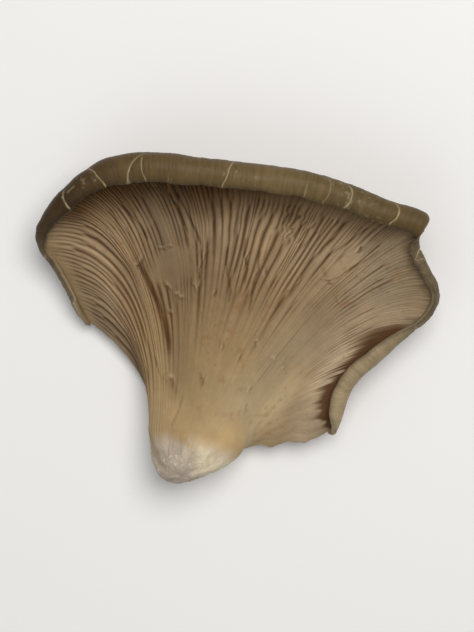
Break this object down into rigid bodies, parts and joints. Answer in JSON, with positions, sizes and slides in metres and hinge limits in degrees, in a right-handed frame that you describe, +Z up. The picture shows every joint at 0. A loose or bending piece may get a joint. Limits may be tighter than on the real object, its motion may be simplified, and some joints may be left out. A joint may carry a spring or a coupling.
{
  "type": "oyster mushroom",
  "caption": "Picked oyster mushroom lying gills up: fan-shaped gilled cap with a rolled grey-brown margin and a short side stem.",
  "frame": {"origin": "middle of the body's box, at the level of the surface it rests on", "axes": "+X along the widest span of the cap, +Y from the stem end towards the rolled far margin, +Z up, out of the gills"},
  "size_m": [0.131, 0.1086, 0.034],
  "materials": {
    "mushroom_flesh": "matt tan gills, grey-brown satin skin on the cap's back and rolled margin, pale stem end"
  },
  "bodies": {
    "root": {"oyster_mushroom": "mushroom_flesh"}
  },
  "joints": []
}
